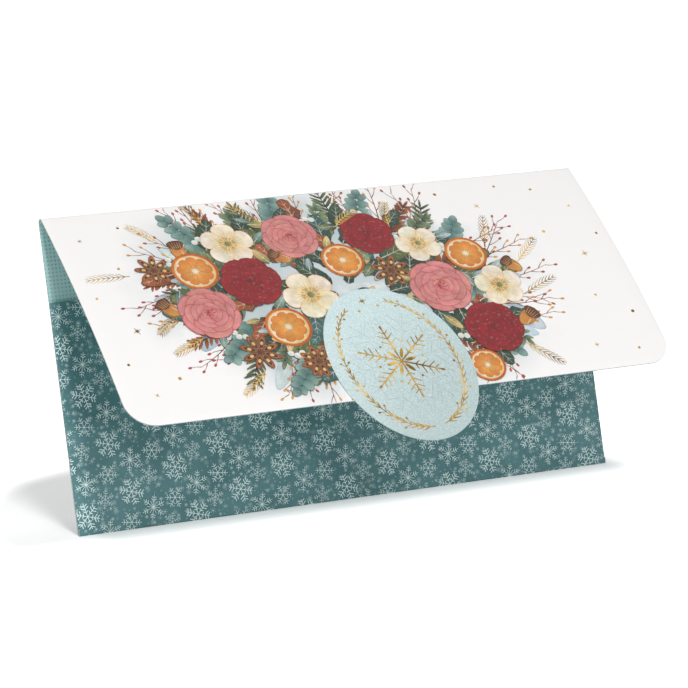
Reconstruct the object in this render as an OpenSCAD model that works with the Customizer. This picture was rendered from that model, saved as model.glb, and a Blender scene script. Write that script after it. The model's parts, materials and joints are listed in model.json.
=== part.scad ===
// Folded card holder for a gift card or banknotes.
// One die-cut sheet makes the back panel, the front pocket, two glued side tabs and the flap.
// The panels are separate solids that meet face to face at the score lines.
// X runs along the folds, -Y is the front and Z is up.
// The origin is the middle of the flat underside of the bottom fold.

/* [Envelope] */
// Width of the holder along its folds
body_w = 185; // [150:1:230]
// Height of the back panel, measured up its face from the table to the top crease
back_h = 95; // [85:1:115]
// Height of the front pocket, measured up its face from the table to its mouth
pocket_h = 71; // [50:1:80]
// Length of the flap along the card, from the top crease to its free edge
flap_l = 83; // [74:1:88]
// Radius of the two rounded corners at the flap's free edge
flap_corner_r = 9; // [2:1:20]

/* [Card and folds] */
// Thickness of the printed card
card_t = 0.45; // [0.3:0.05:0.7]
// Outer radius of the soft bend at the top crease
crease_r = 1.6; // [1.2:0.1:2.6]
// Outer radius of the two score lines along the bottom fold
score_r = 0.4; // [0.2:0.05:0.5]
// Height of the folded strip that joins the back panel to the pocket
bottom_fold_h = 2; // [1.5:0.5:4]

/* [Side tabs] */
// Reach of each side tab inwards from its fold
tab_reach = 15; // [10:1:25]
// Length by which each tab's slanted ends draw in
tab_slant = 5; // [2:1:10]
// Width of the adhesive strip on each tab
strip_w = 8; // [4:1:9]
// Thickness of the adhesive strip
strip_t = 0.15; // [0.05:0.05:0.3]
// Distance kept between the adhesive and the ends of its tab
strip_margin = 7; // [5:1:15]

/* [Oval tag] */
// Short axis of the oval tag
tag_w = 46; // [30:1:60]
// Long axis of the oval tag
tag_h = 58; // [40:1:64]
// Thickness of the embossed tag card
tag_t = 0.5; // [0.3:0.05:0.8]
// Distance along the flap from the top crease to the tag's centre
tag_drop = 71.5; // [58:0.5:76]
// Turn of the tag's long axis away from square with the flap
tag_tilt = 9; // [0:1:30]
// Diameter of the glue patch under the tag
patch_d = 24; // [12:1:26]
// Thickness of the glue patch
patch_t = 0.15; // [0.05:0.05:0.3]
// Distance kept between the glue patch and the flap's free edge
patch_margin = 4; // [2:1:8]

/* [Standing pose] */
// Angle by which the panels lean back from upright
lean = 12; // [0:1:16]
// Bend of the top crease at rest, where 0 is flat and 180 is folded right over
flap_bend = 137.5; // [90:0.5:160]
// Angle through which the springy flap bows over its length
flap_bow = 11; // [4:1:20]

/* [Hidden] */
$fn = 96;

teal = "#466f70";
mint = "#9fb9b4";
white_card = "#f4f2ee";
tag_mint = "#c3dee0";
glue = "#e6e2d2";

// The pocket is closed at its sides by back panel, adhesive, tab and front panel, one on the other.
body_t = 3 * card_t + strip_t;
bow_r = flap_l / (flap_bow * PI / 180);
bow_centre = crease_r - card_t / 2 - bow_r;
tag_angle = flap_bow * tag_drop / flap_l;
patch_drop = min(tag_drop, flap_l - patch_margin - patch_d / 2);
patch_angle = flap_bow * patch_drop / flap_l;
tag_under = bow_r + card_t / 2 + patch_t;
arc_steps = 8;
bow_facets = 1080;

// Points of an arc that rounds the corner at b between a and c
function unit(v) = v / norm(v);
function round_corner(a, b, c, r) =
    let (
        to_a = unit(a - b),
        to_c = unit(c - b),
        half = acos(to_a * to_c) / 2,
        centre = b + unit(to_a + to_c) * r / sin(half),
        start = b + to_a * r / tan(half) - centre,
        turn = (to_a[0] * to_c[1] - to_a[1] * to_c[0] > 0 ? -1 : 1) * (180 - 2 * half)
    )
    [for (i = [0 : arc_steps])
        let (w = -turn * i / arc_steps)
        centre + [start[0] * cos(w) + start[1] * sin(w), start[1] * cos(w) - start[0] * sin(w)]];

function oval(w, h, steps = 96) =
    [for (i = [0 : steps - 1]) [w / 2 * cos(360 * i / steps), h / 2 * sin(360 * i / steps)]];

// Stands a drawing made in Y and Z on the X axis
module across_x() {
    rotate([90, 0, 90]) children();
}

// Stands an outline made in X and Z up, with its thickness along Y
module face_on(thickness) {
    rotate([90, 0, 0]) linear_extrude(thickness) children();
}

// The back panel's outer face lies on Y = 0 before the whole holder leans back
module leaning() {
    translate([0, body_t / 2 / cos(lean), 0]) rotate([-lean, 0, 0]) children();
}

// Flat panel between two heights, with its rear face at depth behind the outer back face
module panel(width, low, high, depth) {
    translate([-width / 2, -depth - card_t, low]) cube([width, card_t, high - low]);
}

// Sheet bent round an axis along X: a sector of a tube, from the +Y side up and over
module bent_sheet(inner_r, thickness, width, angle, facets = 96) {
    across_x() rotate_extrude(angle = angle, $fn = facets)
        translate([inner_r, -width / 2]) square([thickness, width]);
}

// Frame of the flap: its origin is the crease's axis, and the flap rises along Z before it is bent
module on_flap() {
    leaning() translate([0, -crease_r, back_h]) rotate([flap_bend, 0, 0]) children();
}

// Frame at a place along the bowed flap: its origin is the bow's centre, and +Y points out of the flap
module along_bow(angle) {
    on_flap() translate([0, bow_centre, 0]) rotate([angle, 0, 0]) children();
}

// Sheet that follows the bow for the same reach on both sides of the frame's Y axis
module bowed_patch(inner_r, thickness, reach) {
    half = reach / bow_r * 180 / PI;
    rotate([-half, 0, 0]) bent_sheet(inner_r, thickness, 3 * reach, 2 * half, bow_facets);
}

module back_panel() {
    color(mint) leaning() panel(body_w, bottom_fold_h, back_h, 0);
}

module front_pocket() {
    color(teal) leaning() panel(body_w - 2 * card_t, bottom_fold_h, pocket_h, body_t - card_t);
}

// Two score lines with a flat strip between them, cut level so that the holder stands on it
module bottom_fold() {
    drop = -body_t * tan(lean);
    back_low = [0, 0];
    front_low = [-body_t, drop];
    inner_floor = card_t / cos(lean);
    profile = concat(
        [[0, bottom_fold_h]],
        round_corner([0, bottom_fold_h], back_low, front_low, score_r),
        round_corner(back_low, front_low, [-body_t, bottom_fold_h], score_r),
        [
            [-body_t, bottom_fold_h],
            [card_t - body_t, bottom_fold_h],
            [card_t - body_t, inner_floor - (body_t - card_t) * tan(lean)],
            [-card_t, inner_floor - card_t * tan(lean)],
            [-card_t, bottom_fold_h]
        ]
    );
    color(teal) leaning() across_x() linear_extrude(body_w, center = true) polygon(profile);
}

// The right tab: a half-round fold at the pocket's side, and the tab turned in behind the pocket
module side_tab() {
    fold_x = body_w / 2 - card_t;
    outline = [
        [fold_x, bottom_fold_h], [fold_x - tab_reach, bottom_fold_h + tab_slant],
        [fold_x - tab_reach, pocket_h - tab_slant], [fold_x, pocket_h]
    ];
    color(teal) leaning() union() {
        translate([0, 2 * card_t - body_t, 0]) face_on(card_t) polygon(outline);
        translate([fold_x, card_t - body_t, bottom_fold_h]) rotate([0, 0, -90])
            half_bar(card_t, pocket_h - bottom_fold_h);
    }
}

// Half of a round bar that stands on its own axis, on the +Y side
module half_bar(r, height) {
    rotate_extrude(angle = 180) square([r, height]);
}

module left_side_tab() {
    mirror([1, 0, 0]) side_tab();
}

module right_side_tab() {
    side_tab();
}

// The right adhesive strip, between the tab and the back panel
module glue_strip() {
    strip_x = body_w / 2 - card_t - tab_reach / 2 - strip_w / 2;
    strip_low = bottom_fold_h + strip_margin;
    color(glue) leaning() translate([strip_x, -card_t - strip_t, strip_low])
        cube([strip_w, strip_t, pocket_h - strip_margin - strip_low]);
}

module left_glue_strip() {
    mirror([1, 0, 0]) glue_strip();
}

module right_glue_strip() {
    glue_strip();
}

module top_crease() {
    color(white_card) leaning() translate([0, -crease_r, back_h])
        bent_sheet(crease_r - card_t, card_t, body_w, flap_bend);
}

module flap() {
    end_z = bow_r * sin(flap_bow);
    low_left = [-body_w / 2, -1];
    low_right = [body_w / 2, -1];
    far_left = [-body_w / 2, end_z];
    far_right = [body_w / 2, end_z];
    outline = concat(
        [low_left, low_right],
        round_corner(low_right, far_right, far_left, flap_corner_r),
        round_corner(far_right, far_left, low_left, flap_corner_r)
    );
    color(white_card) on_flap() intersection() {
        translate([0, bow_centre, 0])
            bent_sheet(bow_r - card_t / 2, card_t, body_w, flap_bow + 1, bow_facets);
        translate([0, flap_l / 2, 0]) face_on(flap_l) polygon(outline);
    }
}

module tag_glue_patch() {
    color(glue) along_bow(patch_angle) intersection() {
        bowed_patch(bow_r + card_t / 2, patch_t, patch_d);
        translate([0, bow_r + patch_d / 2, 0]) face_on(patch_d) circle(d = patch_d);
    }
}

module oval_tag() {
    color(tag_mint) along_bow(tag_angle) intersection() {
        bowed_patch(tag_under, tag_t, tag_h * 0.6);
        translate([0, bow_r + tag_h / 2, 0]) face_on(tag_h) rotate(-tag_tilt) polygon(oval(tag_w, tag_h));
    }
}

back_panel();
bottom_fold();
front_pocket();
left_side_tab();
right_side_tab();
left_glue_strip();
right_glue_strip();
top_crease();
flap();
tag_glue_patch();
oval_tag();
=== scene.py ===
import json
import random
from math import atan2, copysign, cos, hypot, pi, radians, sin, sqrt

import bmesh
import bpy
from mathutils import Matrix, Vector


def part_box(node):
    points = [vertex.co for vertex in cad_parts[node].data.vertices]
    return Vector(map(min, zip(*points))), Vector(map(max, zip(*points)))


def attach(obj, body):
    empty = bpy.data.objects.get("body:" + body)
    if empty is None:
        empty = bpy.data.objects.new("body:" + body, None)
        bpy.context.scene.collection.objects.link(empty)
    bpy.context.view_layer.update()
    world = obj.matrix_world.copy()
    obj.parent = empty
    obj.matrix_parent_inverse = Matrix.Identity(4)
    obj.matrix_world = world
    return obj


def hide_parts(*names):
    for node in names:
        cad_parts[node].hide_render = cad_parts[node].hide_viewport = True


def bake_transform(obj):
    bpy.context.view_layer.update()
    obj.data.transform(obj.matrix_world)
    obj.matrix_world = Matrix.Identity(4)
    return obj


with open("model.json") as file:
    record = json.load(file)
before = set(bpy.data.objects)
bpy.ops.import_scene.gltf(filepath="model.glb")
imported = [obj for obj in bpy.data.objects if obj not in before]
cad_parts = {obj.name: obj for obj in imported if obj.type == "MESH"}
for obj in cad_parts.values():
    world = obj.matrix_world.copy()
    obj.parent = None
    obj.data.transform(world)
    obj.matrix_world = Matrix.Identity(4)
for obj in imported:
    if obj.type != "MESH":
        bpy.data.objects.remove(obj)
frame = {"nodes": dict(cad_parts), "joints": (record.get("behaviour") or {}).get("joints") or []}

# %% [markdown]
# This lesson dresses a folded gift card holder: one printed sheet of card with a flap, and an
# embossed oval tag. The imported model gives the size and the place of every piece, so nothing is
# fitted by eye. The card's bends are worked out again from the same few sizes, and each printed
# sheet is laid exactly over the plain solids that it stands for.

scene = bpy.context.scene
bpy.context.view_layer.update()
MM = 0.001
CARD = 0.45 * MM
BODY = 1.5 * MM
FOLD_H = 2 * MM
SCORE_R = 0.2 * MM
CREASE_R = 1.6 * MM
POCKET_H = 71 * MM
FLAP_LENGTH = 83 * MM
CORNER_R = 9 * MM
LEAN = radians(12)
FLAP_BEND = radians(137.5)
FLAP_BOW = radians(11)
TAG_W = 46 * MM
TAG_H = 58 * MM
TAG_T = 0.5 * MM
TAG_DROP = 71.5 * MM
TAG_TILT = radians(9)
PATCH_T = 0.15 * MM
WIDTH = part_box("bottom_fold")[1].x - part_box("bottom_fold")[0].x
print("The holder is", round(WIDTH / MM, 1), "mm wide")

# %% [markdown]
# The panels lean back a little, and the flap hangs over from a soft crease. Two matrices hold those
# poses. A flat drawing on the flap has X along the crease, Y up the page and Z off the page. The
# function below carries such a point round the crease and along the flap's gentle bow, as the real
# card would carry its ink.

# %% Where the panels and the flap lie
hinge = Vector(frame["joints"][0]["pos_m"])
stand = Matrix.Translation((0, BODY / 2 / cos(LEAN), 0)) @ Matrix.Rotation(-LEAN, 4, "X")
BACK_H = (stand.inverted() @ hinge).z
crease_mid = CREASE_R - CARD / 2
CREASE_L = crease_mid * FLAP_BEND
FLAP_RUN = CREASE_L + FLAP_LENGTH
bow_r = FLAP_LENGTH / FLAP_BOW
TAG_Y = -CREASE_L - TAG_DROP
crease_frame = stand @ Matrix.Translation((0, -CREASE_R, BACK_H))
flap_frame = crease_frame @ Matrix.Rotation(FLAP_BEND, 4, "X")


def bend_over_card(point):
    run = -point.y
    if run < CREASE_L:
        angle = run / crease_mid
        r = crease_mid + point.z
        return crease_frame @ Vector((point.x, r * cos(angle), r * sin(angle)))
    angle = (run - CREASE_L) / bow_r
    r = bow_r + point.z
    return flap_frame @ Vector((point.x, crease_mid - bow_r + r * cos(angle), r * sin(angle)))


print("Back panel", round(BACK_H / MM, 2), "mm high, bow radius", round(bow_r / MM), "mm")

# %% [markdown]
# Card bends in facets here, so everything that lies on the flap is cut at the same lines. Layers of
# ink a few thousandths of a millimetre apart then stay parallel and never cut through each other.
# The bisect operator makes those cuts, which keeps every drawing a plain flat mesh until it is bent.
# A sheet gets its thickness last, and keeps it in the mesh, so a sharper bend later can't swell it.

# %% Cutting a flat drawing, and turning a mesh into a piece
CREASE_STEPS = 12
BOW_STEPS = 40
BOW_REACH = 104 * MM
SNAP = 1e-8


def steps(start, end, count):
    return [start + (end - start) * i / count for i in range(count + 1)]


CREASE_CUTS = [-run for run in steps(0, CREASE_L, CREASE_STEPS)[1:]]
BOW_CUTS = [-run for run in steps(CREASE_L, CREASE_L + BOW_REACH, BOW_STEPS)[1:]]


def cut_across(bm, axis, places, **cleared):
    """Cuts a mesh at each place along an axis. With clear_inner or clear_outer one side goes."""
    normal = Vector([1 if i == axis else 0 for i in range(3)])
    for place in places:
        bmesh.ops.bisect_plane(bm, geom=bm.verts[:] + bm.edges[:] + bm.faces[:], dist=SNAP,
                               plane_co=normal * place, plane_no=normal, **cleared)


def keep_flat_map(bm, on_sheet=lambda spot: spot.xy):
    """Stores where each corner lies on the flat sheet, before the sheet is bent."""
    flat = bm.loops.layers.uv.new("flat")
    for face in bm.faces:
        for loop in face.loops:
            loop[flat].uv = on_sheet(loop.vert.co)


def bend_drawing(bm):
    low = min(vert.co.y for vert in bm.verts)
    high = max(vert.co.y for vert in bm.verts)
    cut_across(bm, 1, [place for place in CREASE_CUTS + BOW_CUTS if low < place < high])
    for vert in bm.verts:
        vert.co = bend_over_card(vert.co)


def make_piece(name, bm, *materials):
    mesh = bpy.data.meshes.new(name)
    bm.to_mesh(mesh)
    bm.free()
    mesh.shade_smooth()
    for material in materials:
        mesh.materials.append(material)
    piece = bpy.data.objects.new(name, mesh)
    scene.collection.objects.link(piece)
    print(name, "has", len(mesh.polygons), "faces")
    return piece


def give_thickness(piece):
    """Thickens a sheet for good, so that its crease can bend later without swelling."""
    wall = piece.modifiers.new("card", "SOLIDIFY")
    wall.thickness = CARD
    wall.offset = 0
    wall.use_even_offset = True
    wall.material_offset = 1
    wall.material_offset_rim = 2
    depsgraph = bpy.context.evaluated_depsgraph_get()
    thick = bpy.data.meshes.new_from_object(piece.evaluated_get(depsgraph), preserve_all_data_layers=True,
                                            depsgraph=depsgraph)
    piece.modifiers.clear()
    piece.data = thick
    even_normals(piece)
    print(piece.name, "has", len(thick.polygons), "faces with its thickness")


def round_off(bm, geom, offset, segments, affect="EDGES"):
    bmesh.ops.bevel(bm, geom=geom, offset=offset, offset_type="OFFSET", affect=affect, segments=segments,
                    profile=0.5, material=-1)


def only(parts, kind):
    return [part for part in parts if isinstance(part, kind)]


def even_normals(piece):
    """Lets the wide faces set the shading, so that thin cut edges stay crisp."""
    even = piece.modifiers.new("even_normals", "WEIGHTED_NORMAL")
    even.weight = 100


# %% [markdown]
# Materials are graphs of nodes. These short helpers add one node each, so that the code that builds
# a finish reads like its recipe. Every finish starts as satin card: a Principled shader whose bump
# is the fine grain of coated paper.

# %% Helpers that add nodes
def srgb(red, green, blue):
    levels = [v / 255 for v in (red, green, blue)]
    return [((v + 0.055) / 1.055) ** 2.4 if v > 0.04 else v / 12.92 for v in levels] + [1]


def feed(tree, node, inputs):
    """Links each input that is given a socket, and sets the plain values of the others."""
    for key, value in inputs.items():
        if isinstance(value, bpy.types.NodeSocket):
            tree.links.new(value, node.inputs[key])
        else:
            node.inputs[key].default_value = value


def add_node(tree, kind, inputs, **settings):
    made = tree.nodes.new("ShaderNode" + kind)
    for name, value in settings.items():
        setattr(made, name, value)
    feed(tree, made, inputs)
    return made


def calc(tree, operation, *values):
    return add_node(tree, "Math", dict(enumerate(values)), operation=operation).outputs[0]


def vector_calc(tree, operation, *values):
    made = add_node(tree, "VectorMath", dict(enumerate(values)), operation=operation)
    return made.outputs["Value" if operation in ("LENGTH", "DISTANCE", "DOT_PRODUCT") else "Vector"]


def scaled(tree, vector, factor):
    return add_node(tree, "VectorMath", {0: vector, "Scale": factor}, operation="SCALE").outputs[0]


def blend_colours(tree, share, first, second, how="MIX"):
    made = add_node(tree, "Mix", {0: share, 6: first, 7: second}, data_type="RGBA", blend_type=how)
    return made.outputs[2]


def fade(tree, value, start, end, low=0.0, high=1.0):
    made = add_node(tree, "MapRange", {0: value, 1: start, 2: end, 3: low, 4: high},
                    interpolation_type="SMOOTHSTEP")
    return made.outputs[0]


def noise(tree, place, scale, detail=2.0):
    return add_node(tree, "TexNoise", {"Vector": place, "Scale": scale, "Detail": detail}).outputs[0]


def bumped(tree, height, strength, distance, **more):
    inputs = {"Height": height, "Strength": strength, "Distance": distance, **more}
    return add_node(tree, "Bump", inputs).outputs[0]


def parts_of(tree, vector):
    return add_node(tree, "SeparateXYZ", {0: vector}).outputs


def joined(tree, x, y=0.0):
    return add_node(tree, "CombineXYZ", {0: x, 1: y}).outputs[0]


def object_place(tree):
    return add_node(tree, "TexCoord", {}).outputs["Object"]


# %% The coated card that every print lies on
GRAIN_SCALE = 2600
GRAIN_DEPTH = 0.012 * MM
WORN_SCALE = 90


def new_finish(name):
    material = bpy.data.materials.new(name)
    material.use_nodes = True
    tree = material.node_tree
    return material, tree, tree.nodes["Principled BSDF"]


def satin_card(name, roughness=0.45, grain=0.25):
    material, tree, shader = new_finish(name)
    place = object_place(tree)
    fibres = noise(tree, place, GRAIN_SCALE, 4)
    worn = fade(tree, noise(tree, place, WORN_SCALE), 0.3, 0.7, roughness - 0.05, roughness + 0.05)
    feed(tree, shader, {"Specular IOR Level": 0.4, "Roughness": worn,
                        "Normal": bumped(tree, fibres, grain, GRAIN_DEPTH)})
    return material, tree, shader


# %% [markdown]
# The outside of the pocket is printed with snowflakes on teal. A flake has six equal arms, so one
# wedge of thirty degrees is enough: the angle is folded with a ping-pong, and the distance to a few
# straight strokes in that wedge draws all of them. The same distance, a little wider, gives the dark
# halo that lifts a flake off its ground. A node group holds the flake, and each of the four flakes of
# the print is the same group with its own reach and branches.

# %% A group that draws one stroke, and a group that draws one flake
def stroke_distance(tree, place, start, direction, length, swell):
    reach = vector_calc(tree, "SUBTRACT", place, start)
    share = vector_calc(tree, "DOT_PRODUCT", reach, direction)
    along = add_node(tree, "Clamp", {0: share, 2: length}).outputs[0]
    on_line = scaled(tree, direction, along)
    gap = vector_calc(tree, "DISTANCE", reach, on_line)
    return calc(tree, "MULTIPLY_ADD", along, calc(tree, "MULTIPLY", swell, -1.0), gap)


INK_SOFT = 0.038
HALO = 0.3
NO_WRAP = 1000


def flake_group(repeat):
    group = bpy.data.node_groups.new("printed_flake", "ShaderNodeTree")
    wanted = [("Place", "Vector"), ("Centre", "Vector"), ("Starts", "Vector"), ("Lengths", "Vector"),
              ("Turn", "Float"), ("Reach", "Float"), ("Ray", "Float"), ("Line", "Float"), ("Swell", "Float"),
              ("Hub", "Float")]
    for name, kind in wanted:
        group.interface.new_socket(name=name, in_out="INPUT", socket_type="NodeSocket" + kind)
    for name in ("Ink", "Halo"):
        group.interface.new_socket(name=name, in_out="OUTPUT", socket_type="NodeSocketFloat")
    given = group.nodes.new("NodeGroupInput").outputs
    half = (repeat / 2, repeat / 2, NO_WRAP)
    local = vector_calc(group, "WRAP", vector_calc(group, "SUBTRACT", given["Place"], given["Centre"]),
                        half, [-side for side in half])
    part = parts_of(group, local)
    angle = calc(group, "ADD", calc(group, "ARCTAN2", part[1], part[0]), given["Turn"])
    folded = calc(group, "PINGPONG", angle, radians(30))
    r = vector_calc(group, "LENGTH", local)
    wedge = joined(group, calc(group, "MULTIPLY", r, calc(group, "COSINE", folded)),
                   calc(group, "MULTIPLY", r, calc(group, "SINE", folded)))
    middle = (0, 0, 0)
    between, slant = [(cos(radians(turn)), sin(radians(turn)), 0) for turn in (30, 60)]
    strokes = [(middle, (1, 0, 0), given["Reach"], 0.0), (middle, between, given["Ray"], 0.0)]
    starts = parts_of(group, given["Starts"])
    lengths = parts_of(group, given["Lengths"])
    for i in range(3):
        strokes.append((joined(group, starts[i]), slant, lengths[i], given["Swell"]))
    nearest = calc(group, "SUBTRACT", r, given["Hub"])
    for stroke in strokes:
        nearest = calc(group, "MINIMUM", nearest, stroke_distance(group, wedge, *stroke))
    outer = calc(group, "ADD", given["Line"], INK_SOFT)
    inner = calc(group, "SUBTRACT", given["Line"], INK_SOFT)
    drawn = group.nodes.new("NodeGroupOutput").inputs
    group.links.new(fade(group, nearest, outer, inner), drawn["Ink"])
    group.links.new(fade(group, nearest, calc(group, "ADD", outer, HALO), outer), drawn["Halo"])
    return group


PRINT_REPEAT = 16.3
PRINT_TURN = radians(-20.7)
flake = flake_group(PRINT_REPEAT)
print("One flake is", len(flake.nodes), "nodes")

# %% The snowflake print
TEAL = srgb(79, 125, 129)
TEAL_LIGHT = srgb(93, 141, 145)
TEAL_DARK = srgb(42, 86, 90)
HALO_STRENGTH = 0.5
FLAKE_INK = srgb(226, 248, 248)
SOFT_DOTS = [(0.24, 0.27, 0.28), (0.36, 0.26, 0.55), (0.55, 0.2, 0.42)]
NO_BRANCH = 30.0  # a branch that starts this far out is never seen


def turned(x, y, angle):
    return x * cos(angle) - y * sin(angle), x * sin(angle) + y * cos(angle)


def on_print(x, y):
    return (*turned(x, y, PRINT_TURN), 0)


FLAKES = [
    dict(Centre=on_print(-79.7, 26.4), Starts=(1.3, 2.25, 3.15), Lengths=(0.75, 1.3, 1.15), Turn=0.62,
         Reach=3.9, Ray=0.0, Line=0.115, Swell=0.04, Hub=0.2, strength=1.0),
    dict(Centre=on_print(-73.2, 20.8), Starts=(2.1, 2.85, NO_BRANCH), Lengths=(0.85, 0.75, 0.0),
         Turn=0.04, Reach=3.9, Ray=2.1, Line=0.085, Swell=0.05, Hub=0.25, strength=1.0),
    dict(Centre=on_print(-65.7, 22.9), Starts=(1.35, 2.2, NO_BRANCH), Lengths=(0.9, 0.9, 0.0),
         Turn=0.48, Reach=3.3, Ray=0.0, Line=0.1, Swell=0.02, Hub=0.2, strength=0.9),
    dict(Centre=on_print(-67.6, 15.6), Starts=(0.9, 1.65, 2.4), Lengths=(0.55, 0.8, 0.55), Turn=0.05,
         Reach=3.0, Ray=0.0, Line=0.082, Swell=0.03, Hub=0.15, strength=0.8),
]
SPECKS = [
    (-74.6, 26.8), (-78.5, 19.6), (-70.4, 27.6), (-62.3, 18.2), (-71.8, 14.9), (-75.7, 14.2), (-69.6, 19.0),
]
for x, y in SPECKS:
    FLAKES.append(dict(Centre=on_print(x, y), Starts=[NO_BRANCH] * 3, Lengths=(0.0, 0.0, 0.0), Turn=x,
                       Reach=0.95, Ray=0.0, Line=0.06, Swell=0.0, Hub=0.12, strength=0.65))


def snowflake_print(name, place_of):
    material, tree, shader = satin_card(name)
    place = place_of(tree)
    turned_place = add_node(tree, "VectorRotate", {"Vector": place, "Angle": PRINT_TURN},
                            rotation_type="Z_AXIS").outputs[0]
    snow = halo = 0.0
    for recipe in FLAKES:
        inputs = {key: value for key, value in recipe.items() if key != "strength"}
        drawn = add_node(tree, "Group", {"Place": turned_place, **inputs}, node_tree=flake)
        ink = calc(tree, "MULTIPLY", drawn.outputs[0], recipe["strength"])
        snow = calc(tree, "MAXIMUM", snow, ink)
        around = calc(tree, "MULTIPLY", drawn.outputs[1], recipe["strength"] * HALO_STRENGTH)
        halo = calc(tree, "MAXIMUM", halo, around)
    for scale, size, strength in SOFT_DOTS:
        cells = add_node(tree, "TexVoronoi", {"Vector": place, "Scale": scale, "Randomness": 0.85},
                         voronoi_dimensions="2D")
        dot = fade(tree, cells.outputs["Distance"], size, size * 0.1)
        pick = add_node(tree, "SeparateColor", {0: cells.outputs["Color"]}).outputs[0]
        weight = fade(tree, pick, 0.15, 0.8, 0.0, strength)
        snow = calc(tree, "MAXIMUM", snow, calc(tree, "MULTIPLY", dot, weight))
    cloud = fade(tree, noise(tree, place, 0.06), 0.35, 0.65)
    ground = blend_colours(tree, halo, blend_colours(tree, cloud, TEAL, TEAL_LIGHT), TEAL_DARK)
    feed(tree, shader, {"Base Color": blend_colours(tree, snow, ground, FLAKE_INK)})
    return material


def flat_millimetres(tree):
    sheet = add_node(tree, "UVMap", {}, uv_map="flat").outputs[0]
    return scaled(tree, sheet, 1 / MM)


def standing_millimetres(tree):
    upright = add_node(tree, "Mapping", {"Vector": object_place(tree), "Rotation": (LEAN, 0, 0),
                                                   "Scale": (1 / MM, 1 / MM, 1 / MM)}).outputs[0]
    part = parts_of(tree, upright)
    return joined(tree, part[0], part[2])


outer_print = snowflake_print("outer_print", flat_millimetres)
tab_print = snowflake_print("tab_print", standing_millimetres)
print("The print has", len(FLAKES), "flakes in each repeat of", PRINT_REPEAT, "mm")

# %% [markdown]
# Inside, the card is pale mint with a fine grid of dots. A wrapped vector puts the same small cell
# under every point, and the length of what is left is the distance to the nearest dot.

# %% The dotted inside, the cut edge and the adhesive
DOT_STEP = 1.2
DOT_R = 0.28
DOT_SOFT = 0.07
MINT = srgb(190, 226, 224)
MINT_SHADE = srgb(176, 216, 214)
MINT_DOT = srgb(132, 178, 177)


def dotted_print():
    material, tree, shader = satin_card("inner_print", 0.5)
    half = DOT_STEP / 2
    place = flat_millimetres(tree)
    cell = vector_calc(tree, "WRAP", place, (half, half, half), (-half, -half, -half))
    dot = fade(tree, vector_calc(tree, "LENGTH", cell), DOT_R + DOT_SOFT, DOT_R - DOT_SOFT)
    faded = calc(tree, "MULTIPLY", dot, fade(tree, noise(tree, place, 0.15), 0.3, 0.7, 0.55, 1.0))
    ground = blend_colours(tree, fade(tree, noise(tree, place, 0.05), 0.3, 0.7), MINT, MINT_SHADE)
    feed(tree, shader, {"Base Color": blend_colours(tree, faded, ground, MINT_DOT)})
    return material


def mottled(name, first, second, scale, roughness):
    material, tree, shader = satin_card(name, roughness, 0.6)
    share = fade(tree, noise(tree, object_place(tree), scale, 3), 0.35, 0.65)
    feed(tree, shader, {"Base Color": blend_colours(tree, share, first, second)})
    return material


inner_print = dotted_print()
cut_edge = mottled("cut_edge", srgb(214, 220, 218), srgb(190, 204, 202), 1500, 0.7)
adhesive = mottled("adhesive", srgb(232, 228, 214), srgb(220, 214, 198), 400, 0.3)

# %% [markdown]
# The pocket is one folded strip. It starts as a single edge at the pocket's mouth, and each extrude
# carries that edge to the next fold: down the front, across the bottom, and up the back. A bevel then
# rounds the two score lines, and the flat sheet's own coordinates go into a UV map, so the print runs
# round the folds as it does on the real card.

# %% The pocket's folded sheet
FRONT_Y = CARD / 2 - BODY
BACK_Y = -CARD / 2
BULGE = 0.9 * MM
COLUMNS = 32
ROWS = 16
ABOVE_MOUTH = 8 * MM


def floor_height(y):
    return (CARD / 2 + y * sin(LEAN)) / cos(LEAN)


FOLDS = [
    (WIDTH / 2 - CARD, FRONT_Y, POCKET_H),
    (WIDTH / 2 - CARD, FRONT_Y, FOLD_H),
    (WIDTH / 2, FRONT_Y, FOLD_H - CARD),
    (WIDTH / 2, FRONT_Y, floor_height(FRONT_Y)),
    (WIDTH / 2, BACK_Y, floor_height(BACK_Y)),
    (WIDTH / 2, BACK_Y, BACK_H),
]


def fold_strip():
    bm = bmesh.new()
    half, y, z = FOLDS[0]
    edge = bm.edges.new((bm.verts.new((-half, y, z)), bm.verts.new((half, y, z))))
    for half, y, z in FOLDS[1:]:
        made = bmesh.ops.extrude_edge_only(bm, edges=[edge])["geom"]
        edge = only(made, bmesh.types.BMEdge)[0]
        for vert in edge.verts:
            vert.co = (copysign(half, vert.co.x), y, z)
    scores = [e for e in bm.edges
              if e.calc_length() > WIDTH / 2 and max(v.co.z for v in e.verts) < 2 * SCORE_R]
    round_off(bm, scores, SCORE_R, 4)
    cut_across(bm, 0, steps(-WIDTH / 2, WIDTH / 2, COLUMNS)[1:-1])
    cut_across(bm, 2, steps(FOLD_H, POCKET_H, ROWS)[1:-1] + [POCKET_H + ABOVE_MOUTH])
    bmesh.ops.recalc_face_normals(bm, faces=bm.faces[:])
    back_face = max(bm.faces, key=lambda face: face.calc_center_median().z)
    if back_face.normal.y < 0:
        bmesh.ops.reverse_faces(bm, faces=bm.faces[:])
    return bm


def is_front(y):
    return y < (FRONT_Y + BACK_Y) / 2


bm = fold_strip()
keep_flat_map(bm, lambda spot: (spot.x, spot.z) if is_front(spot.y) else (spot.x, -BODY - spot.z))
for vert in bm.verts:
    x, y, z = vert.co
    if is_front(y) and z > FOLD_H:
        rise = (z - FOLD_H) / (POCKET_H - FOLD_H)
        across = 1 - (2 * x / WIDTH) ** 2
        vert.co.y -= BULGE * sin(rise * pi / 2) ** 2 * across
bmesh.ops.transform(bm, matrix=stand, verts=bm.verts[:])
pocket_sheet = make_piece("pocket_sheet", bm, outer_print, inner_print, cut_edge)
give_thickness(pocket_sheet)
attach(pocket_sheet, "pocket")
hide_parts("back_panel", "bottom_fold", "front_pocket")

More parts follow.
